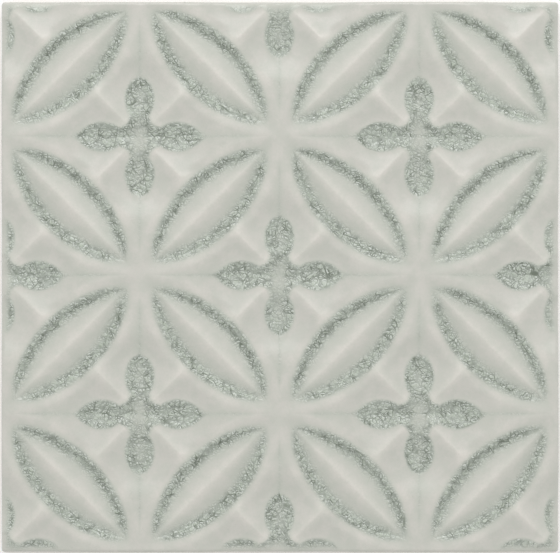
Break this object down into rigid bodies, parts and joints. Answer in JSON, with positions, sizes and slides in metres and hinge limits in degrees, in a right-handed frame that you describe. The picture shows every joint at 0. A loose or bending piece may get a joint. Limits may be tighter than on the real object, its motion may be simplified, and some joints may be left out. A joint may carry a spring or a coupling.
{
  "type": "relief glazed tile",
  "caption": "Square fired-clay wall tile, pressed in one piece, with a raised pattern of overlapping circles, petals and four-lobed hollows under a pale crackle glaze.",
  "frame": {"origin": "middle of the tile's outline, on the plane of its back", "axes": "+Z out of the glazed relief face, +Y towards the edge at the top of the picture, +X towards the right edge"},
  "size_m": [0.148, 0.1462, 0.0095],
  "materials": {
    "crackle_glaze": "soft gloss crackle glaze"
  },
  "bodies": {
    "root": {"relief_tile": "crackle_glaze"}
  },
  "joints": []
}
